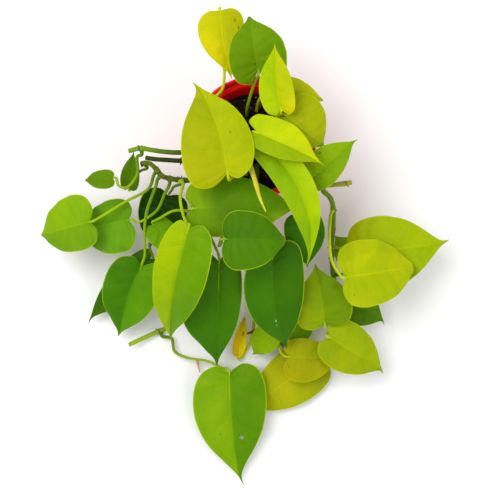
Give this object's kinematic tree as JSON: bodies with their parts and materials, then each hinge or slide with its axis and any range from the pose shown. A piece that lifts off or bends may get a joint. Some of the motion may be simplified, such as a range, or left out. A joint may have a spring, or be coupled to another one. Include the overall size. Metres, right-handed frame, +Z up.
{
  "type": "potted pothos plant",
  "caption": "Trailing vine plant with heart-shaped leaves on long stalks, rooted in soil in a tapered round pot, its stems hanging over the rim and lying on the ground.",
  "frame": {"origin": "centre of the pot's flat base, at the height it stands on", "axes": "+Z up along the pot's axis; -Y is the side the long trailing vines lie on; +X to the right when seen from -Y"},
  "size_m": [0.3722, 0.4189, 0.1575],
  "materials": {
    "pot_red": "satin-gloss moulded red plastic",
    "soil_mix": "rough crumbly potting mix",
    "leaf_yellow": "soft waxy sheen, yellow-green",
    "leaf_lime": "soft waxy sheen, bright lime",
    "leaf_green": "soft waxy sheen, mid green",
    "leaf_dark": "soft waxy sheen, deep green",
    "leaf_withered": "dry, papery",
    "vine_stem": "smooth green stem, browner with age",
    "new_shoot": "smooth pale yellow-green",
    "dry_stem": "dry brown"
  },
  "bodies": {
    "root": {"leaf_01": "leaf_yellow", "leaf_02": "leaf_green", "leaf_03": "leaf_lime", "leaf_04": "leaf_yellow", "leaf_05": "leaf_yellow", "leaf_06": "leaf_lime", "leaf_07": "leaf_lime", "leaf_08": "leaf_lime", "leaf_09": "leaf_green", "leaf_10": "leaf_green", "leaf_11": "leaf_green", "leaf_12": "leaf_lime", "leaf_13": "leaf_dark", "leaf_14": "leaf_dark", "leaf_15": "leaf_dark", "leaf_16": "leaf_dark", "leaf_17": "leaf_green", "leaf_18": "leaf_yellow", "leaf_19": "leaf_yellow", "leaf_20": "leaf_yellow", "leaf_21": "leaf_lime", "leaf_22": "leaf_yellow", "leaf_23": "leaf_yellow", "leaf_24": "leaf_dark", "leaf_25": "leaf_dark", "leaf_26": "leaf_green", "leaf_27": "leaf_green", "leaf_28": "leaf_green", "leaf_29": "leaf_green", "leaf_30": "leaf_dark", "leaf_31": "leaf_green", "leaf_32": "leaf_green", "leaf_33": "leaf_dark", "leaf_34": "leaf_dark", "leaf_35": "leaf_withered", "pot": "pot_red", "root_aerial": "dry_stem", "shoot": "new_shoot", "soil": "soil_mix", "stem_cut": "vine_stem", "stem_dry": "dry_stem", "vine_front": "vine_stem", "vine_front_left": "vine_stem", "vine_left": "vine_stem", "vine_left_low": "vine_stem", "vine_right": "vine_stem", "vine_right_low": "vine_stem"}
  },
  "joints": []
}
